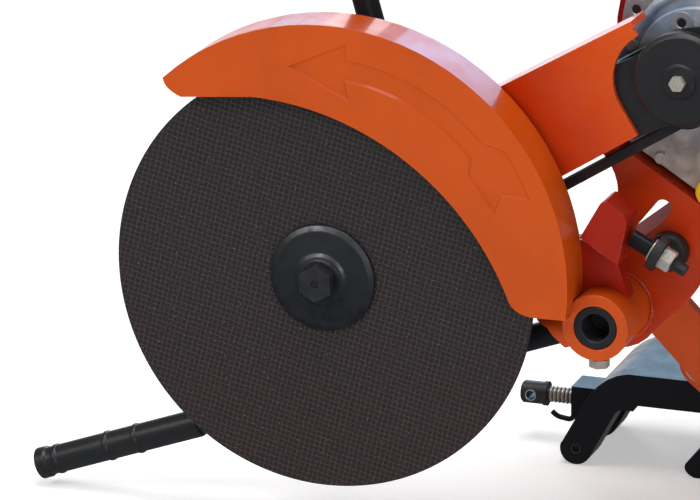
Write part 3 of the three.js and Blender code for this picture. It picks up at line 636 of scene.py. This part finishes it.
def weld_ring(name, centre, axis, radius, body, material):
    """A weld bead round a tube, where it stands on a plate."""
    _, side, other = frame_round(axis)
    steps = 90
    path = [centre + around(side, other, 2 * math.pi * k / steps) * radius * MM for k in range(steps)]
    bead = sweep(path, 1.9, 12, roughen=0.8, closed=True)
    return add_piece(name, finish_mesh(bead, name), body, material)


def prism(outline, front, back):
    """A plate through outline points, given as front and back rings of the same length."""
    bm = bmesh.new()
    low = [bm.verts.new(p) for p in front(outline)]
    high = [bm.verts.new(p) for p in back(outline)]
    count = len(low)
    bm.faces.new(low)
    bm.faces.new(high[::-1])
    for k in range(count):
        n = (k + 1) % count
        bm.faces.new([low[k], high[k], high[n], low[n]])
    bmesh.ops.recalc_face_normals(bm, faces=bm.faces)
    return bm


def hex_screw(name, head, axis, across, height, body, material, washer=True):
    """A hexagon screw's head with its chamfer and washer, standing on a face at head."""
    axis, side, other = frame_round(axis)
    bm = bmesh.new()
    rings = []
    points = 24
    corner = across / math.sqrt(3)
    levels = [(corner, 0.0), (corner, height - 0.8), (corner * 0.93, height), (corner * 0.45, height)]
    for radius, lift in levels:
        ring = []
        for k in range(points):
            a = 2 * math.pi * k / points
            flat = corner * math.cos(math.pi / 6) / math.cos((a % (math.pi / 3)) - math.pi / 6)
            reach = min(flat, radius) if radius > corner * 0.5 else radius
            ring.append(bm.verts.new(head + around(side, other, a) * reach * MM + axis * lift * MM))
        rings.append(ring)
    add_bands(bm, zip(rings, rings[1:]))
    bm.faces.new(rings[-1])
    bm.faces.new(rings[0][::-1])
    add_piece(name, finish_mesh(bm, name), body, material)
    if washer:
        outer = across * 0.62
        profile = [(across * 0.2, -0.3), (outer, -0.3), (outer, 0.7), (across * 0.2, 0.7)]
        lathe(name + "_washer", profile, head, axis, body, material, width=0.2, segments=32)


def carve(obj, cutter):
    """Cuts a shape out of a piece, ahead of its smoothing, and keeps the cut's edges crisp."""
    tool = bpy.data.objects.new(obj.name + "_cutter", cutter)
    bpy.context.scene.collection.objects.link(tool)
    normals = obj.modifiers[0]
    normals.show_viewport = False
    cut = obj.modifiers.new("cut", "BOOLEAN")
    cut.operation = "DIFFERENCE"
    cut.solver = "EXACT"
    cut.object = tool
    bpy.context.view_layer.update()
    depsgraph = bpy.context.evaluated_depsgraph_get()
    mesh = bpy.data.meshes.new_from_object(obj.evaluated_get(depsgraph))
    obj.modifiers.remove(cut)
    crisp = math.radians(14)
    bm = bmesh.new()
    bm.from_mesh(mesh)
    for edge in bm.edges:
        if edge.calc_face_angle(0.0) > crisp:
            edge.smooth = False
    bm.to_mesh(mesh)
    bm.free()
    obj.data = mesh
    normals.show_viewport = True
    bpy.data.objects.remove(tool)


# ------------------------------------------------------------------ camera, light and floor
def add_camera():
    """A long lens from the front right, a little above the object."""
    data = bpy.data.cameras.new("camera")
    data.sensor_width = 36
    data.lens = 283.1
    camera = bpy.data.objects.new("camera", data)
    bpy.context.scene.collection.objects.link(camera)
    camera.location = ORIGIN + Vector((1.6056, -4.4881, 1.5099))
    target = ORIGIN + Vector((0.01989, 0.01462, 0.02307))
    camera.rotation_mode = "QUATERNION"
    camera.rotation_quaternion = (target - camera.location).to_track_quat("-Z", "Y")
    bpy.context.scene.camera = camera


def add_light(name, place, target, size, power, colour, gloss_only=False):
    """A rectangular light; one that is gloss_only shows in shiny faces and lights nothing else."""
    data = bpy.data.lights.new(name, "AREA")
    data.shape = "RECTANGLE"
    data.size, data.size_y = size
    data.energy = power
    data.color = colour
    light = bpy.data.objects.new(name, data)
    bpy.context.scene.collection.objects.link(light)
    light.location = ORIGIN + Vector(place)
    toward = ORIGIN + Vector(target) - light.location
    light.rotation_mode = "QUATERNION"
    light.rotation_quaternion = toward.to_track_quat("-Z", "Y")
    light.visible_camera = False
    light.visible_diffuse = not gloss_only


def add_studio():
    """Soft light from the front left and above, with a white and blue sky behind the object."""
    scene = bpy.context.scene
    scene.view_settings.view_transform = "Standard"
    world = bpy.data.worlds.new("studio")
    world.use_nodes = True
    background = world.node_tree.nodes["Background"]
    background.inputs["Color"].default_value = (0.90, 0.95, 1.0, 1)
    background.inputs["Strength"].default_value = 0.15
    scene.world = world
    warm, cool, blue = (1.0, 0.96, 0.90), (0.94, 0.96, 1.0), (0.28, 0.64, 1.0)
    add_light("key", (-2.0, -2.8, 2.6), (0.05, 0, 0), (1.6, 1.3), 63, warm)
    add_light("fill", (2.4, -3.0, 1.2), (0.1, 0, 0), (1.4, 1.2), 22, cool)
    add_light("overhead", (0.4, -0.2, 3.2), (0.1, 0.1, 0), (2.6, 2.2), 84, (1.0, 0.985, 0.97))
    add_light("sky_white", (-1.55, 3.75, 2.15), (-1.55, 0, 2.0), (1.7, 1.8), 40, (0.92, 0.96, 1.0))
    add_light("sky_blue", (0.38, 3.9, 2.1), (0, 0, 0.1), (1.75, 1.9), 66, blue, gloss_only=True)
    add_light("sky_low", (-0.9, 3.8, 0.88), (-0.9, 0, 0.8), (2.6, 0.68), 15, blue, gloss_only=True)
    pale = (0.93, 0.94, 1.0)
    add_light("horizon", (-2.0, 4.3, -0.25), (-2.0, 0, -0.2), (3.4, 1.5), 22, pale, gloss_only=True)
    add_floor()


def add_floor():
    """A plain pale floor, just under the object and hidden from shiny faces."""
    reach = 30.0
    ground = CAD_BOX[0].z - 0.5 * MM
    corners = [(x * reach, y * reach, ground) for x, y in ((-1, -1), (1, -1), (1, 1), (-1, 1))]
    mesh = bpy.data.meshes.new("floor")
    mesh.from_pydata(corners, [], [(0, 1, 2, 3)])
    mat, tree, shader = new_material("pale_floor")
    tone = mix_colour(tree, noise_of(tree, 3, 3, 0.5), (0.90, 0.90, 0.905), (0.93, 0.93, 0.93))
    tree.links.new(tone, shader.inputs["Base Color"])
    shader.inputs["Roughness"].default_value = 1.0
    shader.inputs["Specular IOR Level"].default_value = 0.0
    shader.inputs["Emission Color"].default_value = (1.0, 1.0, 1.0, 1)
    shader.inputs["Emission Strength"].default_value = 0.42
    mesh.materials.append(mat)
    floor = bpy.data.objects.new("floor", mesh)
    bpy.context.scene.collection.objects.link(floor)
    floor.visible_glossy = False


# ------------------------------------------------------------------ disc and arbor
def add_spindle(m):
    """The disc with its flanges and bolt, the shaft, and the housing with its bearings."""
    turned("abrasive_disc", m["abrasive"], ORIGIN, width=0.5, segments=180)
    turned("outer_flange", m["flange"], ORIGIN, width=0.8, segments=96)
    turned("inner_flange", m["flange"], ORIGIN, width=0.8, segments=96)
    turned("arbor_shaft", m["plated"], ORIGIN)
    turned("driven_pulley", m["iron"], ORIGIN)
    rounded("arbor_bolt", m["dark"], 0.8)
    boss = [(4.2, -25.9), (9.6, -25.9), (11.2, -25.2), (11.2, -24.0), (4.2, -24.0)]
    lathe("bolt_face", boss, ORIGIN, BACK, "spindle", m["flange"], width=0.4)
    # Painted shade: a black disc at the bolt's centre stands for the shade there.
    centre = [(0.0, -24.6), (3.6, -24.6), (3.6, -20.0), (0.0, -20.0)]
    lathe("bolt_centre_shade_disc", centre, ORIGIN, BACK, "spindle", m["rubber"], width=0.2)
    turned("arbor_housing", m["orange"], ORIGIN, width=1.2)
    turned("front_bearing", m["plated"], ORIGIN)
    turned("rear_bearing", m["plated"], ORIGIN)
    cap = [(15.0, 87.2), (25.0, 87.2), (25.0, 89.0), (15.0, 89.0)]
    lathe("rear_bearing_seal", cap, ORIGIN, BACK, "saw", m["rubber"], width=0.3)


# ------------------------------------------------------------------ guard
def arrow_outline():
    """A plain arrow bent round the guard's centre: the disc's sense of rotation."""
    upper = [(197.5, 84.8 - 42.8 * k / 20) for k in range(21)]
    lower = [(179.5, 40.7 + 44.2 * k / 20) for k in range(21)]
    tail = [(210.4, 37.1), (210.0, 30.6), (209.0, 24.2), (186.0, 27.8), (173.6, 23.7), (169.4, 37.0)]
    return [(190.0, 100.4), (211.5, 85.3), *upper, *tail, *lower, (162.3, 82.9), (168.0, 88.7)]


def offset_ring(points, reach):
    """Moves each point of a closed outline outwards (or inwards, if reach is negative)."""
    moved = []
    for i, here in enumerate(points):
        before, after = points[i - 1], points[(i + 1) % len(points)]
        a, b = (here - before).normalized(), (after - here).normalized()
        out_a, out_b = Vector((-a.y, a.x)), Vector((-b.y, b.x))
        middle = (out_a + out_b).normalized()
        share = max(middle.dot(out_a), 0.45)
        moved.append(here + middle * reach / share)
    return moved


def add_guard(m):
    """The guard, with the arrow pressed into its front."""
    guard = rounded("guard_shell", m["guard"], 1.3, 3)
    flat = [Vector(direction(a).xz) * r + Vector(GUARD_CENTRE) for r, a in arrow_outline()]

    def ring_at(y, reach):
        return lambda points: [at(p.x, y, p.y) for p in offset_ring(points, reach)]

    bm = prism(flat, ring_at(-18.6, 2.0), ring_at(-16.1, -0.8))
    for face in bm.faces:
        face.smooth = True
    cutter = bpy.data.meshes.new("arrow")
    bm.to_mesh(cutter)
    bm.free()
    carve(guard, cutter)


# ------------------------------------------------------------------ pivot and travel stop
def add_pivot(m):
    """The boss that the saw swings on, its bush and pin, and the welds that hold it."""
    pivot = at(PIVOT[0], 0, PIVOT[1])
    rounded("pivot_boss", m["orange"], 1.4, 3)
    turned("pivot_bush", m["bush"], pivot, width=1.6)
    lip = [(14.2, 4.4), (19.2, 4.4), (19.2, 5.6), (14.2, 5.6)]
    lathe("bush_lip", lip, pivot, BACK, "saw", m["grip"], width=0.5)
    # Painted shade: the pin takes the black steel so that the bore behind the bush reads as a dark hole.
    turned("saw_pivot_pin", m["dark"], pivot)
    rounded("bush_lock_bolt", m["plated"], 0.6)
    add_slot_rib(m)
    for name, y in (("boss_weld_front", 75.6), ("boss_weld_back", 84.4)):
        weld_ring(name, at(PIVOT[0], y, PIVOT[1]), BACK, 32.2, "saw", m["red"])


def add_slot_rib(m):
    """The stiffening rib behind the side plate's slot, which slopes up towards the back."""
    section = [Vector(p) for p in ((256, 38.5), (300, 74.5), (302.5, 71.4), (258.5, 35.4))]

    def front(points):
        return [at(p.x + 5, 84.2, p.y - 9) for p in points]

    def back(points):
        return [at(p.x, 116, p.y) for p in points]

    bm = prism(section, front, back)
    break_edges(bm, 0.8)
    add_piece("slot_rib", finish_mesh(bm, "slot_rib"), "saw", m["orange"])


def add_stop(m):
    """The travel stop: its block, and the screw with a rubber disc between two washers."""
    rounded("stop_block", m["block"], 1.6, 3)
    rounded("link_bumper", m["rubber"], 1.2)
    rounded("stop_disc", m["rubber"], 1.4)
    start, axis = at(282.5, 27, 58.5), Vector((0.885, 0, -0.465))
    sleeve = [(0, 0), (8, 0), (8, 20.4), (0, 20.4)]
    lathe("stop_bolt_sleeve", sleeve, start, axis, "saw", m["black"], SLOT_OF["stop_bolt"],
          ("stop_bolt",), 0.8)
    core = [(0, 20.2), (6, 20.2), (6, 34.0), (0, 34.0)]
    lathe("stop_bolt_core", core, start, axis, "saw", m["dark"], width=0.2)
    for name, low in (("front", 20.8), ("back", 31.9)):
        washer = [(6, low), (11, low), (11, low + 1.5), (6, low + 1.5)]
        lathe("stop_washer_" + name, washer, start, axis, "saw", m["plated"], width=0.4)
    seat = start + axis.normalized() * 33.6 * MM
    hex_screw("stop_nut", seat, axis, 19, 9.4, "saw", m["plated"], washer=False)
    lathe("stop_bolt_end", threaded(5.9, 43, 57.6, 1.75), start, axis, "saw", m["dark"], width=0.1)


def threaded(radius, start, end, pitch, depth=0.55):
    """The section of a threaded bar, as a row of ridges."""
    profile = [(0, start), (radius - depth, start)]
    count = int((end - start) / pitch)
    for k in range(count):
        low = start + pitch * k
        profile += [(radius, low + pitch * 0.5), (radius - depth, low + pitch)]
    return [*profile, (radius - 1.2, end), (0, end)]


# ------------------------------------------------------------------ handles
def add_handles(m):
    """The two tubular handles with their rubber grips."""
    axis = direction(HANDLE_ANGLE)
    start = at(PIVOT[0], 35, PIVOT[1])
    turned("side_handle_tube", m["black"], start, axis)
    add_grip("side_handle_grip", 416, 588, start, axis, m["grip"])
    rounded("handle_socket", m["orange"], 0.8)
    rounded("top_handle_tube", m["black"], 0.6)
    add_grip("top_handle_grip", 196, 345, at(57, 57, 118), direction(TOP_HANDLE_ANGLE), m["grip"])


def add_grip(node, start, end, foot, axis, material):
    lathe(node + "_shell", grip_section(start, end), foot, axis, "saw", material, SLOT_OF[node],
          (node,), 0.7, 72)


def grip_section(start, end):
    """A rubber grip: a thick rolled end, and three thin rings that stop the hand."""
    bore, body = 12.3, 13.4
    profile = [(bore, start), (body - 0.4, start), (body, start + 2)]
    for back in (106, 75, 20):
        ring = end - back
        profile += [(body, ring - 2.6), (body + 1.0, ring - 1.6)]
        profile += [(body + 1.0, ring + 1.6), (body, ring + 2.6)]
    profile += [(body, end - 12), (15, end - 9), (15, end), (0, end), (0, end - 6), (bore, end - 6)]
    return profile


# ------------------------------------------------------------------ engine
def add_engine(m):
    """The engine's nodes, each with edges as broad as its kind of casting or pressing has."""
    rounded("crankcase_cover", m["casting"], 2.2, 3)
    rounded("crankcase", m["cast"], 1.2)
    rounded("cylinder_head", m["cast"], 0.8)
    rounded("rocker_cover", m["aluminium"], 2.0, 3)
    rounded("fan_housing", m["tank"], 2.4, 3)
    rounded("recoil_cover", m["plastic"], 1.2, 3)
    rounded("fuel_tank", m["tank"], 7.0, 4)
    rounded("fuel_cap", m["plastic"], 1.6, 3)
    rounded("air_filter", m["plastic"], 6.0, 4)
    rounded("carburettor", m["aluminium"], 1.0)
    rounded("muffler", m["exhaust"], 5.0, 4)
    rounded("muffler_guard", m["plated"], 0.5)
    rounded("oil_filler_cap", m["yellow"], 1.6, 3)
    add_crankcase_details(m)
    add_recoil_details(m)


def add_pulley_cover(m):
    """The cover over the drive pulley, with its hub turned down to a narrow ring."""
    cover = rounded("pulley_cover", m["plastic"], 1.2, 3)
    crank = at(CRANK[0], 0, CRANK[1])
    for v in cover.data.vertices:
        out = v.co - crank
        out.y = 0
        on_the_hub = 15 * MM < out.length < 21 * MM
        if on_the_hub:
            v.co -= out * 0.2


def add_crankcase_details(m):
    """What stands on the crankcase: flanges, bosses with a black disc in each as the painted shade of its
    bore, ribs and the cover's screws.
    """
    crank = on_engine(0, 0, 0)
    plate = [(30, 188.9), (101.5, 188.9), (101.5, 190.3), (30, 190.3)]
    lathe("fan_backplate", plate, crank, BACK, "saw", m["aluminium"], width=0.5, segments=120)
    collar = [(18.0, 85.9), (55.0, 85.9), (55.0, 81.0), (53.5, 79.4), (18.0, 79.4)]
    lathe("cover_flange", collar, crank, BACK, "saw", m["casting"], width=2.0, segments=120)
    for name, x, y, z in (("backplate", -84, 188.9, -31), ("cover", -32.4, 79.3, 26.3)):
        face = [(4.1, -0.4), (10.5, -0.4), (10.5, 1.4), (5.2, 1.4), (4.1, 0.4)]
        lathe(name + "_boss", face, on_engine(x, y, z), FRONT, "saw", m["aluminium"], width=0.5)
        # Painted shade: a black disc in the boss stands for the shade inside its bore.
        bore = [(0, -0.3), (4.3, -0.3), (4.3, 0.4), (0, 0.4)]
        lathe(name + "_bore_shade_disc", bore, on_engine(x, y, z), FRONT, "saw", m["rubber"], width=0.1)
    cover_face = 86.2
    ribs = [((-62, -36), (-61.5, 22), 4.4), ((-61.5, 22), (-46, 56), 4.4),
            ((-42, -60), (-60, -30), 2.6), ((-14, 58), (-8, 76), 2.6)]
    for i, (low, high, radius) in enumerate(ribs):
        path = [on_engine(x, cover_face, z) for x, z in (low, high)]
        add_piece(f"cover_rib_{i}", finish_mesh(sweep(path, radius, 20), "rib"), "saw", m["casting"])
    spots = [(-58, -88), (-60, -20), (-42, 62), (14, 76), (68, 58), (82, 4), (80, -60), (20, -92)]
    for i, (x, z) in enumerate(spots):
        hex_screw(f"cover_screw_{i}", on_engine(x, 85.7, z), FRONT, 10, 5, "saw", m["plated"])


def add_recoil_details(m):
    """The rewind starter's screws and hub, and the neck under the fuel cap."""
    screw_circle = 90
    for i, angle in enumerate((10, 100, 160, 265)):
        x = screw_circle * math.cos(math.radians(angle))
        z = screw_circle * math.sin(math.radians(angle))
        hex_screw(f"recoil_screw_{i}", on_engine(x, 248, z), BACK, 8, 4, "saw", m["plated"])
    hub = [(0, 268.2), (11, 268.2), (11, 269.6), (8, 270.2), (0, 270.2)]
    lathe("recoil_hub", hub, on_engine(0, 0, 0), BACK, "saw", m["plated"], width=0.4)
    neck = [(20.4, -2), (31, -2), (31, 1.5), (27, 3.6), (20.4, 3.6)]
    tilt = on_engine(0, 0, 1) - on_engine(0, 0, 0)
    lathe("filler_neck", neck, on_engine(-30, 186, 196.4), tilt, "saw", m["tank"], width=1.0)


# ------------------------------------------------------------------ clamp
def add_clamp(m):
    """The clamp's body, its screw, and the bent wire that keeps the screw from dropping out."""
    y, z = CLAMP_SCREW
    rounded("clamp_body", m["black"], 1.8, 3)
    shank = rounded("clamp_screw", m["dark"], 0.6)
    turn_down(shank, at(0, y, z), 114, 8.1)
    lathe("clamp_screw_thread", clamp_thread(), at(0, y, z), ALONG, "screw", m["thread"], width=0.05)
    for side in (-1, 1):
        rim = [(4.6, 10.9), (5.6, 11.4), (5.6, 10.2), (4.6, 10.2)]
        lathe(f"cross_hole_rim_{side}", rim, at(103, y, z), (0, side, 0), "screw", m["thread"], width=0.1)
    bends = [(121.5, -216.4), (127, -221), (141, -223), (147, -213.5)]
    keeper = eased_path([at(across, y, up) for across, up in bends], 4)
    add_piece("screw_keeper", finish_mesh(sweep(keeper, 2.6, 16), "keeper"), "clamp", m["black"])


def turn_down(piece, centre, start, radius):
    """Thins a screw's shank past start, where it is no thicker than radius, to its thread's root."""
    for v in piece.data.vertices:
        along = v.co - centre
        out = Vector((0, along.y, along.z))
        if along.x > start * MM and out.length < radius * MM:
            v.co -= out * 0.1


def clamp_thread():
    """The section of the clamp screw's thread, with flat crests 4 mm apart."""
    root, crest, pitch = 7.1, 8.02, 4.0
    start, end = 119, 145.6
    profile = [(root, start)]
    for k in range(6):
        low = start + 0.6 + pitch * k
        profile += [(root, low + 0.6), (crest, low + 1.6), (crest, low + 2.6), (root, low + 3.6)]
    return [*profile, (root, end), (root - 0.3, end), (root - 0.3, start)]


# ------------------------------------------------------------------ stand
def add_stand(m):
    """The bent tube that the saw stands on, and the rubber sleeve at its foot."""
    front, rear = 118, 234
    under = -112.0
    line = [on_engine(160, 0, under), on_engine(160, 0, under - 34), at(470, 0, -229)]
    foot = line[-1]
    corners = [moved_to(point, front) for point in line]
    corners += [moved_to(point, rear) for point in reversed(line)]
    bm = sweep(eased_path(corners, 24), 12, 32)
    stand_for("stand_leg", finish_mesh(bm, "stand_leg"), m["black"])
    turned("stand_foot", m["rubber"], foot, width=2.0)


def moved_to(point, y):
    return Vector((point.x, at(0, y, 0).y, point.z))


# ------------------------------------------------------------------ all the other nodes
def add_rest(m):
    """The nodes that need nothing but their material and broken edges."""
    plain = {
        "orange": "upper_link lower_link",
        "arm_shade_and_light": "arm_channel",
        "red": "side_plate engine_bed",
        "plated": "cover_bolt clamp_pivot_pin knuckle_pin",
        "dark": "clamp_jaw screw_pad jaw_pin",
        "iron": "drive_pulley",
        "rubber": "spark_plug_boot",
        "belt": "drive_belt",
        "plastic": "belt_housing throttle_lever choke_lever recoil_grip stop_switch_key",
    }
    for key, names in plain.items():
        for node in names.split():
            rounded(node, m[key])


BUILDERS = (
    add_spindle, add_guard, add_pivot, add_stop, add_handles, add_engine, add_pulley_cover,
    add_clamp, add_stand, add_rest,
)

add_camera()
add_studio()
MATERIALS = make_materials()
for add in BUILDERS:
    add(MATERIALS)
